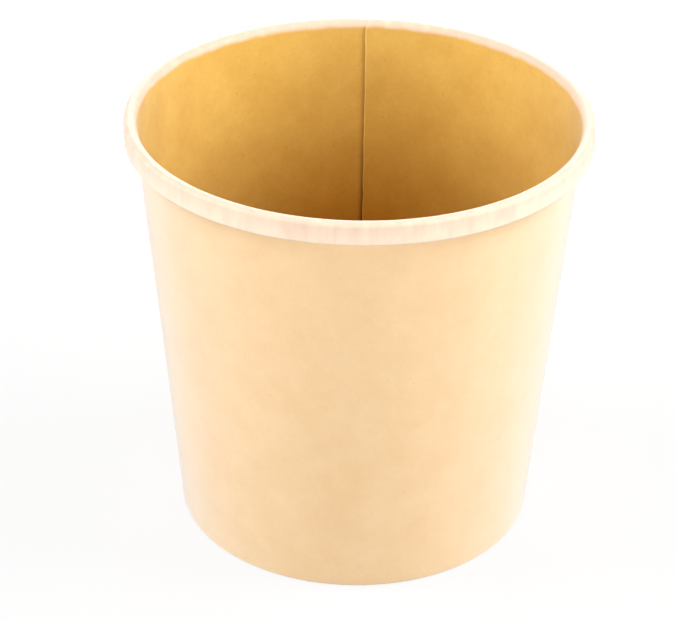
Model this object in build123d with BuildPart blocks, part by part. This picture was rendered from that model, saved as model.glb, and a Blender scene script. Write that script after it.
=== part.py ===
"""A round paper tub for soup: a lapped and rolled side wall of bamboo pulp board, and a recessed base disc."""
import math
import os

from build123d import *

# Driving dimensions, in millimetres
rim_diameter = 115.0    # over the rolled rim
foot_diameter = 90.0    # over the wall where it stands
tub_height = 109.3      # foot to the top of the rim
rim_height = 5.85       # top of the rim to the lower edge of its roll
rim_overhang = 3.0      # how far the roll stands out from the wall below it
wall_board = 0.45       # board of the side wall
base_board = 0.40       # board of the base disc
base_recess = 7.5       # foot to the underside of the base disc
base_chamfer = 0.6      # outside corner where the base disc turns down into its skirt
seat_clearance = 0.02   # skirt to the wall outside it, and to the hem inside it
hem_gap = 1.2           # cut edge of the hem to the underside of the base disc
skirt_gap = 0.8         # cut edge of the skirt to the inside of the foot's fold
fold_chamfer = 0.3      # outside corners of the foot's fold
tuck_gap = 0.5          # wall to the end of the roll that is tucked in beside it
tuck_length = 2.2       # how far that end reaches up inside the roll
shoulder_bend = 0.60    # bend radius from wall to crest, for each millimetre of the roll's inside width
brow_bend = 0.36        # the same from the crest down to the roll's upright face
lip_bend = 0.15         # the same at the roll's lower edge
roll_runs = [2, 2, 1]   # straight runs that stand for the roll's bends: two at its crest, one at its lip
seam_lap = 8.0          # width of the side seam, measured round the wall
seam_step = 0.36        # how far the pressed lap lifts one layer over the other
seam_sink = 0.03        # depth in the board at which the lifted layer starts
seam_angle = -1.5       # the cut edge inside, in degrees about the axis from the +Y side

# The wall is a cone through the foot and the lower edge of the rim's roll
rim_radius = rim_diameter / 2
foot_radius = foot_diameter / 2
roll_bottom = tub_height - rim_height
taper = (rim_radius - rim_overhang - foot_radius) / roll_bottom
across_board = math.hypot(1, taper)     # a thickness square to the wall, measured level


def wall_radius(height, depth=0.0):
    """Radius of the wall's cone at a height, at a depth into the board from its outside."""
    return foot_radius + taper * height - depth * across_board


# Depths of the layers that lie in one another at the foot: wall, skirt of the base disc, hem
skirt_outside = wall_board + seat_clearance
hem_outside = skirt_outside + base_board + seat_clearance
hem_inside = hem_outside + wall_board
hem_top = base_recess - hem_gap
base_top = base_recess + base_board
skirt_bottom = wall_board + skirt_gap

# Corners of the sheet's outer face, from the hem under the foot and up the wall to the end of the roll
crest = tub_height - wall_board
roll_face = rim_radius - wall_board
roll_floor = roll_bottom + wall_board
tuck_depth = -(tuck_gap + wall_board)
tuck_top = roll_floor + tuck_length
sheet_corners = [
    (wall_radius(hem_top, hem_inside), hem_top),
    (wall_radius(0, hem_inside), 0),
    (foot_radius, 0),
    (wall_radius(crest), crest),
    (roll_face, crest),
    (roll_face, roll_floor),
    (wall_radius(roll_floor, tuck_depth), roll_floor),
    (wall_radius(tuck_top, tuck_depth), tuck_top),
]
disc_corners = [
    (0, base_top),
    (wall_radius(base_top, skirt_outside), base_top),
    (wall_radius(skirt_bottom, skirt_outside), skirt_bottom),
]
crest_width = roll_face - wall_radius(crest)
floor_width = roll_face - wall_radius(roll_floor, tuck_depth)
hard_fold = 0
sheet_bends = [
    hard_fold,
    hard_fold,
    shoulder_bend * crest_width,
    brow_bend * crest_width,
    lip_bend * floor_width,
    hard_fold,
]


def bent_path(corners, bends, runs):
    """Points of a path that rounds its corners, with each bend drawn as its number of straight runs."""
    path = FilletPolyline(*corners, radius=bends, mode=Mode.PRIVATE)
    points = [path @ 0]
    runs_left = list(runs)
    for edge in path.edges():
        steps = runs_left.pop(0) if edge.geom_type == GeomType.CIRCLE else 1
        points += [edge @ (step / steps) for step in range(1, steps + 1)]
    return points


def lift_start(radius):
    """Angle before the cut edge at which a straight run of board has to leave the round to clear the step."""
    return math.degrees(math.acos((radius - seam_sink) / (radius + seam_step)))


def around(radius, angle):
    """A point of the seam's level plane, where angle 0 is the cut edge and angles grow to its left."""
    return radius * math.sin(math.radians(-angle)), radius * math.cos(math.radians(angle))


def seam_plane(height):
    return Plane.XY.offset(height).rotated((0, 0, seam_angle))


# The lifted layer outside: straight from the round to the cut edge, then over the lap
flap_bottom = fold_chamfer
flap_top = crest - shoulder_bend * crest_width
# The hollow inside: from the round to the cut edge, open over the top of the rim
hollow_bottom = base_top - base_chamfer
hollow_top = tub_height + rim_height

with BuildPart() as side_wall:
    with BuildSketch(Plane.XZ) as sheet_section:
        with BuildLine():
            sheet = Polyline(*bent_path(sheet_corners, sheet_bends, roll_runs))
            offset(sheet, amount=wall_board, kind=Kind.INTERSECTION, side=Side.LEFT)
        make_face()
        chamfer(sheet_section.vertices().group_by(Axis.Y)[0], length=fold_chamfer)
    revolve(axis=Axis.Z)

    for height in (flap_bottom, flap_top):
        outside = wall_radius(height)
        buried = wall_radius(height, wall_board / 2)
        start = lift_start(outside)
        end = -math.degrees(seam_lap / outside)
        with BuildSketch(seam_plane(height)):
            with BuildLine():
                lifted = outside + seam_step
                Line(around(outside - seam_sink, start), around(lifted, 0))
                ThreePointArc(around(lifted, 0), around(lifted, end / 2), around(lifted, end))
                Line(around(lifted, end), around(buried, end))
                ThreePointArc(around(buried, end), around(buried, (start + end) / 2), around(buried, start))
                Line(around(buried, start), around(outside - seam_sink, start))
            make_face()
    loft(ruled=True)

    for height in (hollow_bottom, hollow_top):
        inside = wall_radius(height, wall_board)
        clear = inside - rim_overhang
        start = lift_start(inside)
        with BuildSketch(seam_plane(height)):
            with BuildLine():
                Polyline(
                    around(inside - seam_sink, start),
                    around(inside + seam_step, 0),
                    around(clear, 0),
                    around(clear, start),
                    close=True,
                )
            make_face()
    loft(ruled=True, mode=Mode.SUBTRACT)

with BuildPart() as base_disc:
    with BuildSketch(Plane.XZ) as disc_section:
        with BuildLine():
            disc = Polyline(*disc_corners)
            offset(disc, amount=base_board, kind=Kind.INTERSECTION, side=Side.RIGHT)
        make_face()
        top_corners = disc_section.vertices().group_by(Axis.Y)[-1]
        chamfer(top_corners.sort_by(Axis.X)[-1], length=base_chamfer)
    revolve(axis=Axis.Z)

os.makedirs("parts", exist_ok=True)
side_wall.part.label = "side_wall"
export_step(side_wall.part, "parts/side_wall.step")
base_disc.part.label = "base_disc"
export_step(base_disc.part, "parts/base_disc.step")
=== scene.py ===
# %% [markdown]
# # A soup tub of bamboo pulp board
# The real tub is two pieces of paper board that are sealed together: a side wall that is rolled from
# a flat, fan-shaped blank, and a round base disc that is held in the wall's folded foot. In this
# lesson both pieces are wrapped from flat board by one Geometry Nodes tree, as a cup machine wraps
# them, and then get a board finish.
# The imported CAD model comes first, because it fixes the frame and the size that everything else has
# to keep to.

# %% Load the tub
import math

import bpy
from mathutils import Matrix, Vector


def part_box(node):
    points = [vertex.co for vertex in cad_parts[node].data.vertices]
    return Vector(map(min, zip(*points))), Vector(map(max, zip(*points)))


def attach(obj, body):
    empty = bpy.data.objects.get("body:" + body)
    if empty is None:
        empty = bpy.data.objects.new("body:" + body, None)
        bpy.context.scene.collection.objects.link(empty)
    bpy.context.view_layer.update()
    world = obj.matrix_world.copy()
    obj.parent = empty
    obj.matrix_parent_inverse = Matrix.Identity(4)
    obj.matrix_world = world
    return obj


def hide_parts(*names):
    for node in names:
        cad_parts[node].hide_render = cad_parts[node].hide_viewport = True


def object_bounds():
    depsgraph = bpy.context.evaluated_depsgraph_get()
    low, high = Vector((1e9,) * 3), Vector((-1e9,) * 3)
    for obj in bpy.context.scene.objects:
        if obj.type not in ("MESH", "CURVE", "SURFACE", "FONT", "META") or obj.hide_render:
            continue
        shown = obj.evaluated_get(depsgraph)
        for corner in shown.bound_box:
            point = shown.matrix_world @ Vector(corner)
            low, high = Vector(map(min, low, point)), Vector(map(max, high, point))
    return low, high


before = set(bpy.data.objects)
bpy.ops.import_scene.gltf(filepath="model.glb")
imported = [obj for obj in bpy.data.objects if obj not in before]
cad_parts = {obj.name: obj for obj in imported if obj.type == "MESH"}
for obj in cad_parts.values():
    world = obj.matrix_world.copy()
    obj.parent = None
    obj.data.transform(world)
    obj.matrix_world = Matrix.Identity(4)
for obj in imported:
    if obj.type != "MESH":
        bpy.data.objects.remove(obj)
cad_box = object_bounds()
MM = 0.001
print("CAD box, mm:", [[round(value / MM, 2) for value in corner] for corner in cad_box])

# %% [markdown]
# ## Sizes of the tub
# The rim's width, the height and the level of the base come straight from the CAD model. The board's
# thickness and the folds are too small to read from a box, so they are written here as named sizes.
# The wall is a cone, and everything at the foot and the rim is placed by its distance from that cone.

# %% Sizes of the folds, and sizes from the model
foot_radius = 45.0 * MM         # over the wall where it stands
rim_height = 5.85 * MM          # top of the rim to the lower edge of its roll
rim_overhang = 3.0 * MM         # how far the roll stands out from the wall
wall_board = 0.45 * MM
base_board = 0.40 * MM
layer_gap = 0.02 * MM           # air between layers that are pressed together
hem_top = 6.3 * MM              # cut edge of the hem, above the table

rim_radius = cad_box[1][0]
tub_height = cad_box[1][2]
base_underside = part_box("base_disc")[1][2] - base_board
skirt_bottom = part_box("base_disc")[0][2]
roll_bottom = tub_height - rim_height
taper = (rim_radius - rim_overhang - foot_radius) / roll_bottom
slope = math.atan(taper)
across_board = math.hypot(1, taper)     # a thickness square to the wall, measured level


def wall_radius(height, depth=0.0):
    """Radius of the wall's cone at a height, at a depth into the board from its outside."""
    return foot_radius + taper * height - depth * across_board


print(f"the wall leans out by {math.degrees(slope):.2f} degrees")

# %% [markdown]
# ## Section of the board
# A cut through the wall shows one strip of board: down the hem, round the fold of the foot, up the
# wall, over the rim and down into the roll, with its end tucked in beside the wall. A Bezier curve
# could be drawn by eye, but the bends have known radii, so the strip is worked out: straight runs
# between corners, and a round arc at each corner.
# The path is the board's bare face. On the roll that face is the hidden one, because the lined face
# turns outwards.

# %% A path with rounded corners
run_step = 2.6 * MM     # straight runs are divided about as finely as this
bend_steps = 8          # and each bend into this many chords


def rounded_path(corners, bends):
    """Points (radius, height) along straight runs and round bends."""
    corners = [Vector(corner) for corner in corners]
    points = [corners[0]]

    def run_to(end):
        start = points[-1]
        steps = max(1, round((end - start).length / run_step))
        points.extend(start.lerp(end, step / steps) for step in range(1, steps + 1))

    for before, corner, after, bend in zip(corners, corners[1:], corners[2:], bends):
        back = (before - corner).normalized()
        ahead = (after - corner).normalized()
        half = back.angle(ahead) / 2
        centre = corner + (back + ahead).normalized() * bend / math.sin(half)
        run_to(corner + back * bend / math.tan(half))
        first = points[-1] - centre
        turn = math.copysign(math.pi - 2 * half, ahead.cross(back))
        for step in range(1, bend_steps + 1):
            points.append(centre + Matrix.Rotation(turn * step / bend_steps, 2) @ first)
    run_to(corners[-1])
    return points


def section_curve(name, points):
    """A curve object with the section as one straight-line spline: its radius on X, its height on Z."""
    curve = bpy.data.curves.new(name, "CURVE")
    curve.dimensions = "3D"
    spline = curve.splines.new("POLY")
    spline.points.add(len(points) - 1)
    for place, point in zip(spline.points, points):
        place.co = (point.x, 0, point.y, 1)
    section = bpy.data.objects.new(name, curve)
    bpy.context.scene.collection.objects.link(section)
    return section


print(f"runs in steps of about {run_step / MM:.1f} mm, bends in {bend_steps} chords")

# %% The wall's section
skirt_depth = wall_board + layer_gap                    # wall to the base's skirt
hem_depth = skirt_depth + base_board + layer_gap        # wall to the hem
hem_face = hem_depth + wall_board                       # wall to the hem's bare face
crest = tub_height - wall_board
roll_face = rim_radius - wall_board
roll_floor = roll_bottom + wall_board
tuck_gap = 0.5 * MM                                     # wall to the roll's tucked end
tuck_depth = -(tuck_gap + wall_board)
tuck_top = roll_floor + 2.2 * MM
crest_width = roll_face - wall_radius(crest)
lip_width = roll_face - wall_radius(roll_floor, tuck_depth)

fold_bend = 0.55 * MM
shoulder_bend = 0.60 * crest_width      # wide bend from the wall over to the crest
brow_bend = 0.36 * crest_width          # tighter bend from the crest to the roll's face
lip_bend = 0.15 * lip_width
tuck_bend = 0.3 * MM

wall_corners = [
    (wall_radius(hem_top, hem_face), hem_top),
    (wall_radius(0, hem_face), 0),
    (foot_radius, 0),
    (wall_radius(crest), crest),
    (roll_face, crest),
    (roll_face, roll_floor),
    (wall_radius(roll_floor, tuck_depth), roll_floor),
    (wall_radius(tuck_top, tuck_depth), tuck_top),
]
wall_bends = [fold_bend, fold_bend, shoulder_bend, brow_bend, lip_bend, tuck_bend]
wall_path = rounded_path(wall_corners, wall_bends)
wall_section = section_curve("wall_section", wall_path)
print(f"the wall's section has {len(wall_path)} points, with bends of "
      f"{shoulder_bend / MM:.2f} mm at the shoulder and {lip_bend / MM:.2f} mm at the lip")

# %% The base disc's section
disc_depth = skirt_depth + base_board       # wall to the inside of the skirt
disc_bend = 0.25 * MM
disc_corners = [
    (0, base_underside),
    (wall_radius(base_underside, disc_depth), base_underside),
    (wall_radius(skirt_bottom, disc_depth), skirt_bottom),
]
disc_path = rounded_path(disc_corners, [disc_bend])
disc_section = section_curve("disc_section", disc_path)
print(f"the base disc's section has {len(disc_path)} points")

# %% [markdown]
# ## Board finishes
# The board is unbleached bamboo pulp: short tan fibres pressed into a sheet, so it is matt, slightly
# cloudy where the pulp lay thicker, and has a few darker flecks of husk. Inside it has a thin clear
# lining that keeps soup out, which makes that face a little deeper in colour and smoother. Its tone is
# painted much deeper still, as painted shade and warm bounce light of the tub's inside. The roll of the
# rim is painted pale, as painted light from above, and painted shade darkens the lined face beside the
# seam's cut edge. A cut edge shows the rough middle of the sheet, which lies between the two in colour.
# Three separate materials would be quick to draw, but they are the same sheet, so one function builds
# them all from the same pulp. The patterns lie on a UV map that is the flat blank itself, in metres,
# so a pattern's scale is one over its real size and nothing stretches round the tub.

# %% Helpers for colours and nodes
def linear(hex_colour):
    """An sRGB hex colour as the linear RGBA that Blender's sockets take."""
    channels = [int(hex_colour[place:place + 2], 16) / 255 for place in (1, 3, 5)]
    return tuple(c / 12.92 if c <= 0.04045 else ((c + 0.055) / 1.055) ** 2.4 for c in channels) + (1.0,)


def add(tree, kind, inputs=None, **settings):
    """Adds a node with its settings. An input is a value to set, or a socket or node to link from.

    A node stands for the first of its outputs that is in use.
    """
    node = tree.nodes.new(kind)
    for name, value in settings.items():
        setattr(node, name, value)
    for socket, source in (inputs or {}).items():
        if isinstance(source, bpy.types.Node):
            source = next(output for output in source.outputs if output.enabled)
        if isinstance(source, bpy.types.NodeSocket):
            tree.links.new(source, node.inputs[socket])
        else:
            node.inputs[socket].default_value = source
    return node


print("a middle grey in linear light:", round(linear("#808080")[0], 3))


# %% Pressed pulp: clouds, fibres and flecks of husk
def pressed_pulp(tree, blank, thin, thick, fleck):
    """Nodes for the pulp's colour on the flat blank, and for the fibres that give it relief."""
    low, high = 0.3, 0.7        # most of a noise texture lies between these
    fibre_strength = 0.08
    fleck_strength = 0.45

    # Clouds of 12 mm with smaller ones inside them, as pulp settles on the wire
    clouds = add(tree, "ShaderNodeTexNoise", {
        "Vector": blank, "Scale": 1 / (12 * MM), "Detail": 4.0, "Roughness": 0.75,
    }, noise_dimensions="2D")
    spread = add(tree, "ShaderNodeMapRange", {"Value": clouds, "From Min": low, "From Max": high})
    cloudy = add(tree, "ShaderNodeMix", {
        "Factor": spread, "A": linear(thin), "B": linear(thick),
    }, data_type="RGBA")

    # Fibres are hundredths of a millimetre wide: drawn at 0.8 mm so that they show
    fibres = add(tree, "ShaderNodeTexNoise", {
        "Vector": blank, "Scale": 1 / (0.8 * MM), "Detail": 2.0, "Distortion": 1.5,
    }, noise_dimensions="2D")
    fibre_tone = add(tree, "ShaderNodeMapRange", {
        "Value": fibres, "From Min": low, "From Max": high, "To Min": 0.0, "To Max": fibre_strength,
    })
    fibrous = add(tree, "ShaderNodeMix", {
        "Factor": fibre_tone, "A": cloudy, "B": linear(fleck),
    }, data_type="RGBA")

    # About a quarter of the cells of an 8 mm net hold a fleck of husk, up to 0.5 mm across
    net = add(tree, "ShaderNodeTexVoronoi", {
        "Vector": blank, "Scale": 1 / (8 * MM),
    }, voronoi_dimensions="2D").outputs
    core, edge = 0.012, 0.045       # of a fleck, in widths of the net
    near = add(tree, "ShaderNodeMapRange", {
        "Value": net["Distance"], "From Min": core, "From Max": edge,
        "To Min": fleck_strength, "To Max": 0.0,
    })
    chosen = add(tree, "ShaderNodeMapRange", {
        "Value": net["Color"], "From Min": 0.6, "From Max": 0.95,
    })
    fleck_here = add(tree, "ShaderNodeMath", {0: near, 1: chosen}, operation="MULTIPLY")
    flecked = add(tree, "ShaderNodeMix", {
        "Factor": fleck_here, "A": fibrous, "B": linear(fleck),
    }, data_type="RGBA")
    return flecked, fibres


# %% Painted light and shade on the board: painted shade beside the seam's cut edge, and painted light on the roll
def with_painted_seam_shade(tree, board, seam_shade_colour, strength):
    """Painted shade: the board is darker beside the seam's raised cut edge, where its shadow falls,
    steeply so near it.
    """
    painted_seam_shade = add(tree, "ShaderNodeAttribute", attribute_name="painted_seam_shade").outputs["Fac"]
    seam_shade_depth = add(tree, "ShaderNodeMath", {0: painted_seam_shade, 1: 2.6}, operation="POWER")
    seam_shade_amount = add(tree, "ShaderNodeMath", {0: seam_shade_depth, 1: strength}, operation="MULTIPLY")
    return add(tree, "ShaderNodeMix", {
        "Factor": seam_shade_amount, "A": board, "B": linear(seam_shade_colour),
    }, data_type="RGBA")


def with_painted_roll_light(tree, board, blank):
    """Painted light: the roll of the rim is painted pale, as it shows lit from above."""
    # It starts along a ragged line, which wanders by 1.2 mm in clouds of 6 mm
    past_roll = add(tree, "ShaderNodeAttribute", attribute_name="past_roll").outputs["Fac"]
    ragged = add(tree, "ShaderNodeTexNoise", {
        "Vector": blank, "Scale": 1 / (6 * MM), "Detail": 2.0,
    }, noise_dimensions="2D")
    ragged_start = add(tree, "ShaderNodeMath", {
        0: ragged, 1: 1.2 * MM, 2: past_roll,
    }, operation="MULTIPLY_ADD")
    rolled = add(tree, "ShaderNodeMapRange", {
        "Value": ragged_start, "From Min": -0.1 * MM, "From Max": 1.1 * MM,
    }, interpolation_type="SMOOTHSTEP")

    # Upright streaks 3 mm wide, of crushed fibres. The crest is darker, as painted shade that evens out
    # the stronger light it gets from above, and the roll is palest towards the lip
    upright = add(tree, "ShaderNodeMapping", {
        "Vector": add(tree, "ShaderNodeTexCoord").outputs["Object"], "Scale": (1.0, 1.0, 0.25),
    })
    crush = add(tree, "ShaderNodeTexNoise", {"Vector": upright, "Scale": 1 / (3 * MM), "Detail": 3.0})
    towards_lip = add(tree, "ShaderNodeMapRange", {
        "Value": past_roll, "From Min": 2.0 * MM, "From Max": 7.0 * MM, "To Min": -1.0, "To Max": 0.0,
    })
    paleness = add(tree, "ShaderNodeMath", {
        0: crush, 1: 2.0, 2: towards_lip,
    }, operation="MULTIPLY_ADD")
    roll_tone = add(tree, "ShaderNodeMix", {
        "Factor": paleness, "A": linear("#ECCEB5"), "B": linear("#FBE4CA"),
    }, data_type="RGBA")
    return add(tree, "ShaderNodeMix", {"Factor": rolled, "A": board, "B": roll_tone}, data_type="RGBA")


# %% Bamboo pulp board
def pulp_board(name, thin, thick, fleck, roughness, gloss, sheen, seam_shade_strength=0.0):
    """Pressed bamboo pulp between a thin and a thick tone, with painted shade beside the seam and
    painted light on the roll.
    """
    material = bpy.data.materials.new(name)
    material.use_nodes = True
    tree = material.node_tree
    blank = add(tree, "ShaderNodeUVMap", uv_map="flat_blank")
    pulp, fibres = pressed_pulp(tree, blank, thin, thick, fleck)
    # Painted shade beside the seam's cut edge, in the fleck tone, which also colours the real flecks of
    # husk
    painted_seam_shade = with_painted_seam_shade(tree, pulp, fleck, seam_shade_strength)
    # Painted light: the roll of the rim is painted pale, with a darker crest as painted shade
    board = with_painted_roll_light(tree, painted_seam_shade, blank)
    relief = add(tree, "ShaderNodeBump", {"Strength": 0.3, "Distance": 0.05 * MM, "Height": fibres})

    shader = tree.nodes["Principled BSDF"]
    shader.inputs["Roughness"].default_value = roughness
    shader.inputs["IOR"].default_value = 1.5
    shader.inputs["Specular IOR Level"].default_value = gloss
    shader.inputs["Sheen Weight"].default_value = sheen
    shader.inputs["Sheen Roughness"].default_value = 0.5
    tree.links.new(board.outputs["Result"], shader.inputs["Base Color"])
    tree.links.new(relief.outputs["Normal"], shader.inputs["Normal"])
    return material


# Bare calendered face: matt, with a soft bloom of loose fibre ends
bare_board = pulp_board(
    "bamboo_pulp_board_calendered", "#F9D5A3", "#F4CC97", "#D8A86C",
    roughness=0.55, gloss=0.5, sheen=1.0,
)
# Lined face: the thin clear film wets the fibres and deepens it a little. The rest of its deep tone is
# painted shade and warm bounce light of the tub's inside. It is pale only at a slant, and it carries the
# painted shade beside the seam's cut edge
lined_board = pulp_board(
    "bamboo_pulp_board_lined", "#E5BB5A", "#DBAD4D", "#7E4D10",
    roughness=0.55, gloss=0.3, sheen=0.45, seam_shade_strength=0.85,
)
# Cut face: dry fibre ends, rough and with little bloom
cut_board = pulp_board(
    "bamboo_pulp_board_cut", "#F3CF7E", "#EDC572", "#C9A06A",
    roughness=0.95, gloss=0.3, sheen=0.2,
)
print("finishes:", bare_board.name, lined_board.name, cut_board.name)

# %% [markdown]
# ## Wrapping a blank
# A cup machine rolls the flat blank round a cone until its ends lap, so the shape follows one rule:
# every column of the sheet is the same section, turned about the axis. Spinning the section would
# lose the seam, and modelling it by hand would not follow a change of size. The tree below lays a
# grid over the blank and moves each point to its place: a turn about the axis from its column, a
# radius and a height from its row of the section.
# Past one full turn, the sheet climbs on to the outside of its own beginning: that is the side seam.

# %% Inputs of the tree
wrap = bpy.data.node_groups.new("wrap_blank", "GeometryNodeTree")
wrap.interface.new_socket("Section", in_out="INPUT", socket_type="NodeSocketGeometry")
wrap.interface.new_socket("Board", in_out="OUTPUT", socket_type="NodeSocketGeometry")
wrap_inputs = {
    "Columns": "NodeSocketInt",         # points round the blank
    "Thickness": "NodeSocketFloat",
    "Skive": "NodeSocketFloat",         # how far the inner cut edge is cut back on its lined side
    "Cut wander": "NodeSocketFloat",    # how far that edge strays from a straight cut
    "Seam angle": "NodeSocketFloat",    # about the axis, from the +Y side
    "Lap": "NodeSocketFloat",           # width of the side seam
    "Climb": "NodeSocketFloat",         # run in which the last layer climbs on to the first
    "Lift": "NodeSocketFloat",          # how high it climbs
    "Lift from": "NodeSocketFloat",     # where the lift begins, along the section
    "Trim to": "NodeSocketFloat",       # where the first layer's trimmed corner ends
    "Waviness": "NodeSocketFloat",
    "Wave length": "NodeSocketFloat",
    "Press marks": "NodeSocketInt",     # how many there are round the hem
    "Press depth": "NodeSocketFloat",
    "Press to": "NodeSocketFloat",      # where the press marks have faded, along the section
    "Roll from": "NodeSocketFloat",     # where the rim's roll begins, along the section
    "Fan ratio": "NodeSocketFloat",     # turn on the flat blank for a turn about the axis
    "Fan start": "NodeSocketFloat",     # radius at which the section starts on the flat blank
    "Bare face": "NodeSocketMaterial",
    "Lined face": "NodeSocketMaterial",
    "Cut face": "NodeSocketMaterial",
}
socket_ids = {}
for name, kind in wrap_inputs.items():
    socket_ids[name] = wrap.interface.new_socket(name, in_out="INPUT", socket_type=kind).identifier
given = add(wrap, "NodeGroupInput").outputs
print(f"the tree has {len(socket_ids)} named inputs")

# %% A grid over the blank, and what the section says for each row
rows = add(wrap, "GeometryNodeAttributeDomainSize", {
    "Geometry": given["Section"],
}, component="CURVE").outputs["Point Count"]
grid = add(wrap, "GeometryNodeMeshGrid", {
    "Vertices X": given["Columns"], "Vertices Y": rows, "Size X": 1.0, "Size Y": 1.0,
}).outputs
index = add(wrap, "GeometryNodeInputIndex")
row = add(wrap, "ShaderNodeMath", {0: index, 1: rows}, operation="FLOORED_MODULO")
share = add(wrap, "ShaderNodeSeparateXYZ", {"Vector": grid["UV Map"]}).outputs["X"]

section_says = {
    "place": ("FLOAT_VECTOR", add(wrap, "GeometryNodeInputPosition")),
    "tangent": ("FLOAT_VECTOR", add(wrap, "GeometryNodeInputTangent")),
    "length": ("FLOAT", add(wrap, "GeometryNodeSplineParameter").outputs["Length"]),
}
row_says = {}
for name, (kind, field) in section_says.items():
    row_says[name] = add(wrap, "GeometryNodeSampleIndex", {
        "Geometry": given["Section"], "Value": field, "Index": row,
    }, data_type=kind, domain="POINT")
point = add(wrap, "ShaderNodeSeparateXYZ", {"Vector": row_says["place"]}).outputs
tangent = add(wrap, "ShaderNodeSeparateXYZ", {"Vector": row_says["tangent"]}).outputs
along = row_says["length"]
print("each row has from the section:", ", ".join(row_says))

# %% How far each column is turned, and how far past its own beginning
lap_turn = add(wrap, "ShaderNodeMath", {0: given["Lap"], 1: point["X"]}, operation="DIVIDE")
whole_turn = add(wrap, "ShaderNodeMath", {0: lap_turn, 1: math.tau}, operation="ADD")
even_turn = add(wrap, "ShaderNodeMath", {0: whole_turn, 1: share}, operation="MULTIPLY")

# Only the first column, the cut edge that shows inside, wanders: in waves of 5 mm and less
first_column = add(wrap, "ShaderNodeMath", {0: share, 1: 0.001}, operation="LESS_THAN")
wander = add(wrap, "ShaderNodeTexNoise", {
    "W": along, "Scale": 1 / (5 * MM), "Detail": 2.0,
}, noise_dimensions="1D")
wander_arc = add(wrap, "ShaderNodeMath", {0: wander, 1: given["Cut wander"]}, operation="MULTIPLY")
wander_turn = add(wrap, "ShaderNodeMath", {0: wander_arc, 1: point["X"]}, operation="DIVIDE")
turned = add(wrap, "ShaderNodeMath", {
    0: first_column, 1: wander_turn, 2: even_turn,
}, operation="MULTIPLY_ADD")

past = add(wrap, "ShaderNodeMath", {0: turned, 1: math.tau}, operation="SUBTRACT")
past_start = add(wrap, "ShaderNodeMath", {0: past, 1: point["X"]}, operation="MULTIPLY")
print(f"turns: {len(wrap.nodes)} nodes so far")

# %% The climb on to the outside of the first layer
lift_run = 12 * MM      # the lift grows to its full height over this run above the foot
press_run = 4 * MM      # and is pressed down again over this run below the roll
press_left = 0.3        # share of the lift that is left at the roll

climb_start = add(wrap, "ShaderNodeMath", {0: given["Climb"], 1: -1.0}, operation="MULTIPLY")
climbed = add(wrap, "ShaderNodeMapRange", {
    "Value": past_start, "From Min": climb_start, "From Max": 0.0,
})
eased = add(wrap, "ShaderNodeMath", {0: climbed, 1: 2.0}, operation="POWER")
lift_full = add(wrap, "ShaderNodeMath", {0: given["Lift from"], 1: lift_run}, operation="ADD")
above_foot = add(wrap, "ShaderNodeMapRange", {
    "Value": along, "From Min": given["Lift from"], "From Max": lift_full,
}, interpolation_type="SMOOTHSTEP")
below_roll = add(wrap, "ShaderNodeMath", {0: given["Roll from"], 1: press_run}, operation="SUBTRACT")
pressed = add(wrap, "ShaderNodeMapRange", {
    "Value": along, "From Min": below_roll, "From Max": given["Roll from"],
    "To Min": 1.0, "To Max": press_left,
}, interpolation_type="SMOOTHSTEP")
free_lift = add(wrap, "ShaderNodeMath", {0: eased, 1: above_foot}, operation="MULTIPLY")
share_lift = add(wrap, "ShaderNodeMath", {0: free_lift, 1: pressed}, operation="MULTIPLY")
lift = add(wrap, "ShaderNodeMath", {0: share_lift, 1: given["Lift"]}, operation="MULTIPLY")
print(f"climb: {len(wrap.nodes)} nodes so far")

# %% Soft waviness of a rolled sheet
axis_angle = add(wrap, "ShaderNodeMath", {0: turned, 1: given["Seam angle"]}, operation="ADD")
sine = add(wrap, "ShaderNodeMath", {0: axis_angle}, operation="SINE")
cosine = add(wrap, "ShaderNodeMath", {0: axis_angle}, operation="COSINE")
around = add(wrap, "ShaderNodeCombineXYZ", {"X": sine, "Y": cosine})
round_wall = add(wrap, "ShaderNodeVectorMath", {0: around, "Scale": point["X"]}, operation="SCALE")
up_wall = add(wrap, "ShaderNodeCombineXYZ", {"Z": point["Z"]})
still = add(wrap, "ShaderNodeVectorMath", {0: round_wall, 1: up_wall}, operation="ADD")
wave_scale = add(wrap, "ShaderNodeMath", {0: 1.0, 1: given["Wave length"]}, operation="DIVIDE")
wave = add(wrap, "ShaderNodeTexNoise", {"Vector": still, "Scale": wave_scale, "Detail": 1.0})
wave_in = add(wrap, "ShaderNodeMath", {0: wave, 1: given["Waviness"]}, operation="MULTIPLY")
print(f"waviness: {len(wrap.nodes)} nodes so far")

# %% Press marks that crimp the hem
# A cosine plus one, times a half at the hem's edge, gives marks that go from 0 to 1
mark_phase = add(wrap, "ShaderNodeMath", {0: turned, 1: given["Press marks"]}, operation="MULTIPLY")
mark_wave = add(wrap, "ShaderNodeMath", {0: mark_phase}, operation="COSINE")
on_hem = add(wrap, "ShaderNodeMapRange", {
    "Value": along, "From Min": given["Press to"], "From Max": 0.0, "To Max": 0.5,
}, interpolation_type="SMOOTHERSTEP")
marks = add(wrap, "ShaderNodeMath", {0: mark_wave, 1: 1.0}, operation="ADD")
marks_here = add(wrap, "ShaderNodeMath", {0: marks, 1: on_hem}, operation="MULTIPLY")
mark_in = add(wrap, "ShaderNodeMath", {0: marks_here, 1: given["Press depth"]}, operation="MULTIPLY")
print(f"press marks: {len(wrap.nodes)} nodes so far")

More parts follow.
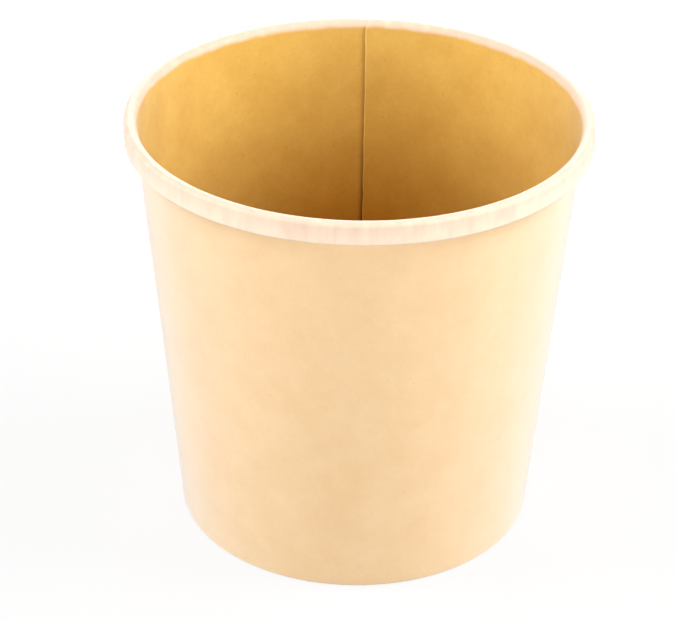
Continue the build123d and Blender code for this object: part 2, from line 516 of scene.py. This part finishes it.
# %% Each point goes to its place round the axis
lift_out = add(wrap, "ShaderNodeMath", {0: lift, 1: tangent["Z"]}, operation="MULTIPLY")
lift_down = add(wrap, "ShaderNodeMath", {0: lift, 1: tangent["X"]}, operation="MULTIPLY")
radius_lifted = add(wrap, "ShaderNodeMath", {0: point["X"], 1: lift_out}, operation="ADD")
radius_waved = add(wrap, "ShaderNodeMath", {0: radius_lifted, 1: wave_in}, operation="SUBTRACT")
radius = add(wrap, "ShaderNodeMath", {0: radius_waved, 1: mark_in}, operation="SUBTRACT")
height = add(wrap, "ShaderNodeMath", {0: point["Z"], 1: lift_down}, operation="SUBTRACT")
level = add(wrap, "ShaderNodeVectorMath", {0: around, "Scale": radius}, operation="SCALE")
upright = add(wrap, "ShaderNodeCombineXYZ", {"Z": height})
place = add(wrap, "ShaderNodeVectorMath", {0: level, 1: upright}, operation="ADD")
print(f"places: {len(wrap.nodes)} nodes so far")

# %% The way through the board, from its bare face to its lined face
inward = add(wrap, "ShaderNodeMath", {0: tangent["Z"], 1: -1.0}, operation="MULTIPLY")
through_level = add(wrap, "ShaderNodeVectorMath", {0: around, "Scale": inward}, operation="SCALE")
through_up = add(wrap, "ShaderNodeCombineXYZ", {"Z": tangent["X"]})
through_sheet = add(wrap, "ShaderNodeVectorMath", {0: through_level, 1: through_up}, operation="ADD")
across = add(wrap, "ShaderNodeVectorMath", {
    0: through_sheet, "Scale": given["Thickness"],
}, operation="SCALE")

# The cut edge inside is skived: its lined face is cut back along the wall
backwards = add(wrap, "ShaderNodeMath", {0: sine, 1: -1.0}, operation="MULTIPLY")
along_wall = add(wrap, "ShaderNodeCombineXYZ", {"X": cosine, "Y": backwards})
cut_back = add(wrap, "ShaderNodeMath", {0: first_column, 1: given["Skive"]}, operation="MULTIPLY")
skived = add(wrap, "ShaderNodeVectorMath", {0: along_wall, "Scale": cut_back}, operation="SCALE")
through = add(wrap, "ShaderNodeVectorMath", {0: across, 1: skived}, operation="ADD")
print(f"way through: {len(wrap.nodes)} nodes so far")

# %% Where each point lay on the flat blank
fan_radius = add(wrap, "ShaderNodeMath", {0: along, 1: given["Fan start"]}, operation="ADD")
fan_angle = add(wrap, "ShaderNodeMath", {0: turned, 1: given["Fan ratio"]}, operation="MULTIPLY")
fan_x = add(wrap, "ShaderNodeMath", {0: fan_angle}, operation="SINE")
fan_y = add(wrap, "ShaderNodeMath", {0: fan_angle}, operation="COSINE")
fan_direction = add(wrap, "ShaderNodeCombineXYZ", {"X": fan_x, "Y": fan_y})
flat = add(wrap, "ShaderNodeVectorMath", {0: fan_direction, "Scale": fan_radius}, operation="SCALE")
flat_point = add(wrap, "GeometryNodeFieldOnDomain", {
    "Value": flat,
}, data_type="FLOAT_VECTOR", domain="POINT")
print(f"flat blank: {len(wrap.nodes)} nodes so far")

# %% Where painted shade darkens the board beside the seam's cut edge: more at the foot, where less light reaches, than at the rim
seam_shade_width = 1.8 * MM
seam_shade_at_foot, seam_shade_at_rim = 1.4, 0.7

has_seam = add(wrap, "ShaderNodeMath", {0: given["Lap"], 1: 0.0}, operation="GREATER_THAN")
fading = add(wrap, "ShaderNodeMapRange", {
    "Value": along, "From Min": given["Lift from"], "From Max": given["Roll from"],
    "To Min": seam_shade_at_foot, "To Max": seam_shade_at_rim,
})
seam_shade_here = add(wrap, "ShaderNodeMath", {0: has_seam, 1: fading}, operation="MULTIPLY")
seam_shade_share = add(wrap, "ShaderNodeMapRange", {
    "Value": past_start, "From Min": -seam_shade_width, "From Max": 0.0, "To Max": seam_shade_here,
})
print(f"seal: {len(wrap.nodes)} nodes so far")

# %% The sheet in its place, with what its thickness and its finish need to know
past_roll = add(wrap, "ShaderNodeMath", {0: along, 1: given["Roll from"]}, operation="SUBTRACT")
sheet = add(wrap, "GeometryNodeSetPosition", {"Geometry": grid["Mesh"], "Position": place})
for name, value, kind, domain in (
    ("through", through, "FLOAT_VECTOR", "POINT"),
    ("flat_blank", flat_point, "FLOAT2", "CORNER"),
    ("past_roll", past_roll, "FLOAT", "POINT"),
    # painted shade beside the seam's cut edge, for the lined finish
    ("painted_seam_shade", seam_shade_share, "FLOAT", "POINT"),
):
    sheet = add(wrap, "GeometryNodeStoreNamedAttribute", {
        "Geometry": sheet, "Name": name, "Value": value,
    }, data_type=kind, domain=domain)
print(f"sheet: {len(wrap.nodes)} nodes so far")

# %% The first layer's corner is trimmed at the foot
weld = 0.001 * MM       # points that are closer than this become one

arc = add(wrap, "ShaderNodeMath", {0: turned, 1: point["X"]}, operation="MULTIPLY")
in_lap = add(wrap, "ShaderNodeMath", {0: arc, 1: given["Lap"]}, operation="LESS_THAN")
at_foot = add(wrap, "ShaderNodeMath", {0: along, 1: given["Trim to"]}, operation="LESS_THAN")
corner_point = add(wrap, "ShaderNodeMath", {0: in_lap, 1: at_foot}, operation="MULTIPLY")
corner = add(wrap, "GeometryNodeFieldOnDomain", {
    "Value": corner_point,
}, data_type="FLOAT", domain="POINT")
# A face has the average of its points, and goes only if all of them lie in the corner
is_corner = add(wrap, "ShaderNodeMath", {0: corner, 1: 0.99}, operation="GREATER_THAN")
trimmed = add(wrap, "GeometryNodeDeleteGeometry", {
    "Geometry": sheet, "Selection": is_corner,
}, domain="FACE")
welded = add(wrap, "GeometryNodeMergeByDistance", {"Geometry": trimmed, "Distance": weld})
print(f"trim: {len(wrap.nodes)} nodes so far")

# %% Thickness: a second face on the lined side, and cut edges all round
bare_face, lined_face, cut_face = 0, 1, 2       # the values of board_face

far_step = add(wrap, "GeometryNodeInputNamedAttribute", {"Name": "through"}, data_type="FLOAT_VECTOR")
doubled = add(wrap, "GeometryNodeExtrudeMesh", {
    "Mesh": welded, "Offset Scale": 0.0, "Individual": False,
}, mode="FACES").outputs
spread_faces = add(wrap, "GeometryNodeSetPosition", {
    "Geometry": doubled["Mesh"], "Selection": doubled["Top"], "Offset": far_step,
})
as_cut = add(wrap, "ShaderNodeMath", {0: doubled["Side"], 1: cut_face}, operation="MULTIPLY")
as_lined = add(wrap, "ShaderNodeMath", {0: doubled["Top"], 1: as_cut}, operation="ADD")
far_side = add(wrap, "GeometryNodeStoreNamedAttribute", {
    "Geometry": spread_faces, "Name": "board_face", "Value": as_lined,
}, data_type="INT", domain="FACE")
turned_back = add(wrap, "GeometryNodeFlipFaces", {"Mesh": welded})
near_side = add(wrap, "GeometryNodeStoreNamedAttribute", {
    "Geometry": turned_back, "Name": "board_face", "Value": bare_face,
}, data_type="INT", domain="FACE")
both = add(wrap, "GeometryNodeJoinGeometry")
for side in (near_side, far_side):
    wrap.links.new(side.outputs["Geometry"], both.inputs["Geometry"])
closed = add(wrap, "GeometryNodeMergeByDistance", {"Geometry": both, "Distance": weld})
smooth = add(wrap, "GeometryNodeSetShadeSmooth", {"Geometry": closed, "Shade Smooth": True})
print(f"thickness: {len(wrap.nodes)} nodes so far")

# %% The three finishes, and the end of the tree
face_kind = add(wrap, "GeometryNodeInputNamedAttribute", {"Name": "board_face"}, data_type="INT")
realized = add(wrap, "GeometryNodeRealizeInstances", {"Geometry": smooth})
dressed = add(wrap, "GeometryNodeSetMaterial", {"Geometry": realized, "Material": given["Bare face"]})
for kind, finish in ((lined_face, "Lined face"), (cut_face, "Cut face")):
    is_kind = add(wrap, "FunctionNodeCompare", {
        "A": face_kind, "B": kind,
    }, data_type="INT", operation="EQUAL")
    dressed = add(wrap, "GeometryNodeSetMaterial", {
        "Geometry": dressed, "Selection": is_kind, "Material": given[finish],
    })
add(wrap, "NodeGroupOutput", {"Board": dressed})
print(f"the tree has {len(wrap.nodes)} nodes")


# %% Wrap a section into a finished mesh
def wrapped_piece(name, section, values, edge_rounding):
    """Runs the tree on a section, which is used up, and returns a mesh object with rounded cut edges."""
    modifier = section.modifiers.new("wrap_blank", "NODES")
    modifier.node_group = wrap
    for input_name, value in values.items():
        modifier[socket_ids[input_name]] = value
    graph = bpy.context.evaluated_depsgraph_get()
    piece = bpy.data.objects.new(name, bpy.data.meshes.new_from_object(section.evaluated_get(graph)))
    bpy.context.scene.collection.objects.link(piece)
    bpy.data.objects.remove(section)

    # The grid's own empty slot comes first, which no face uses, so the cut face has slot 3
    rounding = piece.modifiers.new("rounded_cut_edges", "BEVEL")
    rounding.width = edge_rounding
    rounding.segments = 2
    rounding.material = 3
    rounding.limit_method = "ANGLE"
    rounding.angle_limit = math.radians(50)
    rounding.harden_normals = True
    graph = bpy.context.evaluated_depsgraph_get()
    rounded = bpy.data.meshes.new_from_object(piece.evaluated_get(graph))
    piece.modifiers.clear()
    piece.data = rounded
    rounded.name = name
    rounded.materials.pop(index=0)
    rounded.calc_loop_triangles()
    finishes = [material.name for material in rounded.materials]
    print(f"{name}: {len(rounded.loop_triangles)} triangles, finishes {finishes}")
    return piece


# %% [markdown]
# ## Side wall
# The wall's blank laps by 8 mm at the back of the tub, a little to the right of the middle. Its first
# layer has the cut edge that shows inside, and the last layer lies on the outside. A smooth cone would
# do from afar, but a rolled wall is never perfectly round, so a slow wave of a tenth of a millimetre
# goes into it. The hem under the foot carries the press marks of the tool that crimps it.

# %% Wrap the wall
run_lengths = [(after - before).length for before, after in zip(wall_path, wall_path[1:])]
upward = [place for place, point in enumerate(wall_path) if point.x > foot_radius]
roll_start = next(place for place in upward if wall_path[place].y > crest - shoulder_bend)
to_foot = sum(run_lengths[:upward[0]])
to_roll = sum(run_lengths[:roll_start])
print(f"along the board, the foot is at {to_foot / MM:.1f} mm "
      f"and the roll starts at {to_roll / MM:.1f} mm")
side_wall = wrapped_piece("tub_side_wall", wall_section, {
    "Columns": 440,
    "Thickness": wall_board,
    "Skive": 0.22 * MM,
    "Cut wander": 0.35 * MM,
    "Seam angle": math.radians(1.5),
    "Lap": 8.0 * MM,
    "Climb": 4.0 * MM,
    "Lift": wall_board + 0.1 * MM,
    "Lift from": to_foot,
    "Trim to": to_foot + 6.0 * MM,
    "Waviness": 0.12 * MM,
    "Wave length": 45 * MM,
    "Press marks": 88,
    "Press depth": 0.12 * MM,
    "Press to": hem_top,
    "Roll from": to_roll,
    "Fan ratio": math.sin(slope),
    "Fan start": foot_radius / math.sin(slope) - to_foot,
    "Bare face": bare_board,
    "Lined face": lined_board,
    "Cut face": cut_board,
}, edge_rounding=0.14 * MM)
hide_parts("side_wall")
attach(side_wall, "root")

# %% [markdown]
# ## Base disc
# The base is a plain disc whose edge is drawn down into a skirt. A cylinder with a bevel would look
# like it from above, but the underside shows the skirt, so the same tree makes it. It has no seam:
# with no lap, its last column falls on its first, and the points at the axis fall on each other, and
# both are merged.

# %% Wrap the base disc
base_disc = wrapped_piece("tub_base_disc", disc_section, {
    "Columns": 241,
    "Thickness": base_board,
    "Waviness": 0.0,
    "Wave length": 45 * MM,
    "Roll from": 1.0,       # far past the section's end: a disc has no roll
    "Fan ratio": 1.0,
    "Bare face": bare_board,
    "Lined face": lined_board,
    "Cut face": cut_board,
}, edge_rounding=0.1 * MM)
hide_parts("base_disc")
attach(base_disc, "root")

# %% [markdown]
# ## Floor and light
# The tub stands on a plain white floor under soft studio light. Large lamps give soft shading: one in
# front, one behind, and a low and a high one at each side, so that the round wall is darkest in its
# middle and its inside grows dark downwards. One big lamp overhead would be simpler, but it would
# light the inside down to the base.
# The white of the floor and the sky is for the eye and for reflections alone: as light they are weak,
# so the lamps set the tub's colours. The floor keeps the tub's shadow. It is clear from below, and has
# a round opening that the foot covers, where a lamp reaches the recess under the base.

# %% What shows white, to the eye and in reflections
def seen(tree):
    """A node that gives 1 for what the camera sees, also in a gloss or through glass, and else 0."""
    rays = add(tree, "ShaderNodeLightPath").outputs
    mirrored = add(tree, "ShaderNodeMath", {
        0: rays["Is Glossy Ray"], 1: rays["Is Transmission Ray"],
    }, operation="MAXIMUM")
    return add(tree, "ShaderNodeMath", {0: rays["Is Camera Ray"], 1: mirrored}, operation="MAXIMUM")


# %% Floor
hole_radius = foot_radius - 0.7 * MM    # hidden under the foot; it lets light up to the underside
floor_radius = 4.0
floor_drop = 0.1 * MM                   # air under the foot, so that no two faces share a plane
ring = 96
corners = [
    (radius * math.cos(math.tau * step / ring), radius * math.sin(math.tau * step / ring), 0)
    for radius in (hole_radius, floor_radius) for step in range(ring)
]
quads = [(step, ring + step, ring + (step + 1) % ring, (step + 1) % ring) for step in range(ring)]
floor_mesh = bpy.data.meshes.new("floor")
floor_mesh.from_pydata(corners, [], quads)
floor = bpy.data.objects.new("floor", floor_mesh)
floor.location.z = -floor_drop
bpy.context.scene.collection.objects.link(floor)
print(f"the floor has {len(quads)} faces round an opening of {2 * hole_radius / MM:.1f} mm")

# %% White paper on the floor: full white away from the tub, a little less where its shadow lies
shadow_reach, white_from = 0.3, 0.7     # from the tub's axis, in metres
glow_beside, glow_away = 0.84, 1.0

paper = bpy.data.materials.new("floor_white_paper")
paper.use_nodes = True
paper_tree = paper.node_tree
paper_tree.nodes.remove(paper_tree.nodes["Principled BSDF"])
spot = add(paper_tree, "ShaderNodeTexCoord").outputs["Object"]
from_axis = add(paper_tree, "ShaderNodeVectorMath", {0: spot}, operation="LENGTH")
whiteness = add(paper_tree, "ShaderNodeMapRange", {
    "Value": from_axis, "From Min": shadow_reach, "From Max": white_from,
    "To Min": glow_beside, "To Max": glow_away,
})
seen_glow = add(paper_tree, "ShaderNodeMath", {0: seen(paper_tree), 1: whiteness}, operation="MULTIPLY")
glow = add(paper_tree, "ShaderNodeEmission", {"Color": (1, 1, 1, 1), "Strength": seen_glow})
matt = add(paper_tree, "ShaderNodeBsdfDiffuse", {"Color": linear("#606060")})
lit = add(paper_tree, "ShaderNodeAddShader", {0: glow, 1: matt})
underneath = add(paper_tree, "ShaderNodeNewGeometry").outputs["Backfacing"]
clear = add(paper_tree, "ShaderNodeBsdfTransparent")
one_way = add(paper_tree, "ShaderNodeMixShader", {0: underneath, 1: lit, 2: clear})
paper_tree.links.new(one_way.outputs["Shader"], paper_tree.nodes["Material Output"].inputs["Surface"])
floor_mesh.materials.append(paper)
print(f"the floor glows at {glow_beside} beside the tub and {glow_away} away from it")

# %% Sky
sky_light, sky_white = 0.05, 1.0        # its level as light that falls, and to the eye
sky = bpy.data.worlds.new("studio")
sky.use_nodes = True
bpy.context.scene.world = sky
backdrop = sky.node_tree.nodes["Background"]
sky_level = add(sky.node_tree, "ShaderNodeMapRange", {
    "Value": seen(sky.node_tree), "To Min": sky_light, "To Max": sky_white,
})
backdrop.inputs["Color"].default_value = (1, 1, 1, 1)
sky.node_tree.links.new(sky_level.outputs["Result"], backdrop.inputs["Strength"])
print(f"the sky gives {sky_light} as light and shows as {sky_white}")

# %% Lamps
middle = (0, 0, tub_height / 2)


def soft_lamp(name, place, power, aim=middle, size=0.5):
    """A square soft light that faces its aim."""
    data = bpy.data.lights.new(name, "AREA")
    data.size = size
    data.energy = power
    lamp = bpy.data.objects.new(name, data)
    lamp.location = place
    lamp.rotation_euler = (Vector(aim) - Vector(place)).to_track_quat("-Z", "Y").to_euler()
    bpy.context.scene.collection.objects.link(lamp)


soft_lamp("front", (0.0, -0.80, 0.235), power=5.75)
soft_lamp("back", (0.0, 0.80, 0.205), power=5.0)
soft_lamp("left_low", (-0.68, 0.0, 0.22), power=0.6)
soft_lamp("left_high", (-0.62, 0.0, 0.485), power=4.8)
soft_lamp("right_low", (0.68, 0.0, 0.22), power=0.5)
soft_lamp("right_high", (0.62, 0.0, 0.485), power=6.2)
soft_lamp("below", (0.2, -0.3, -1.0), power=7.0, aim=(0, 0, 0), size=0.8)

# %% [markdown]
# ## Camera
# The photograph looks down into the tub from the front, from far enough away that the wall's taper
# keeps its shape. A camera could be placed by eye, but the rim and the foot are known circles, so the
# place, the tilt and the lens come from fitting their ellipses to the picture.

# %% Camera
looking_down = 30.14    # degrees
leaning = 0.66          # degrees
lens = bpy.data.cameras.new("camera")
lens.lens = 141.8
lens.sensor_width = 36
camera = bpy.data.objects.new("camera", lens)
camera.location = (-4.87 * MM, -584.97 * MM, 393.36 * MM)
tilt = Matrix.Rotation(math.radians(90 - looking_down), 3, "X")
roll = Matrix.Rotation(math.radians(leaning), 3, "Z")
camera.rotation_euler = (tilt @ roll).to_euler()
bpy.context.scene.collection.objects.link(camera)
bpy.context.scene.camera = camera
bpy.context.scene.view_settings.view_transform = "Standard"
print(f"the camera looks down by {looking_down} degrees from {camera.location.length / MM:.0f} mm away")
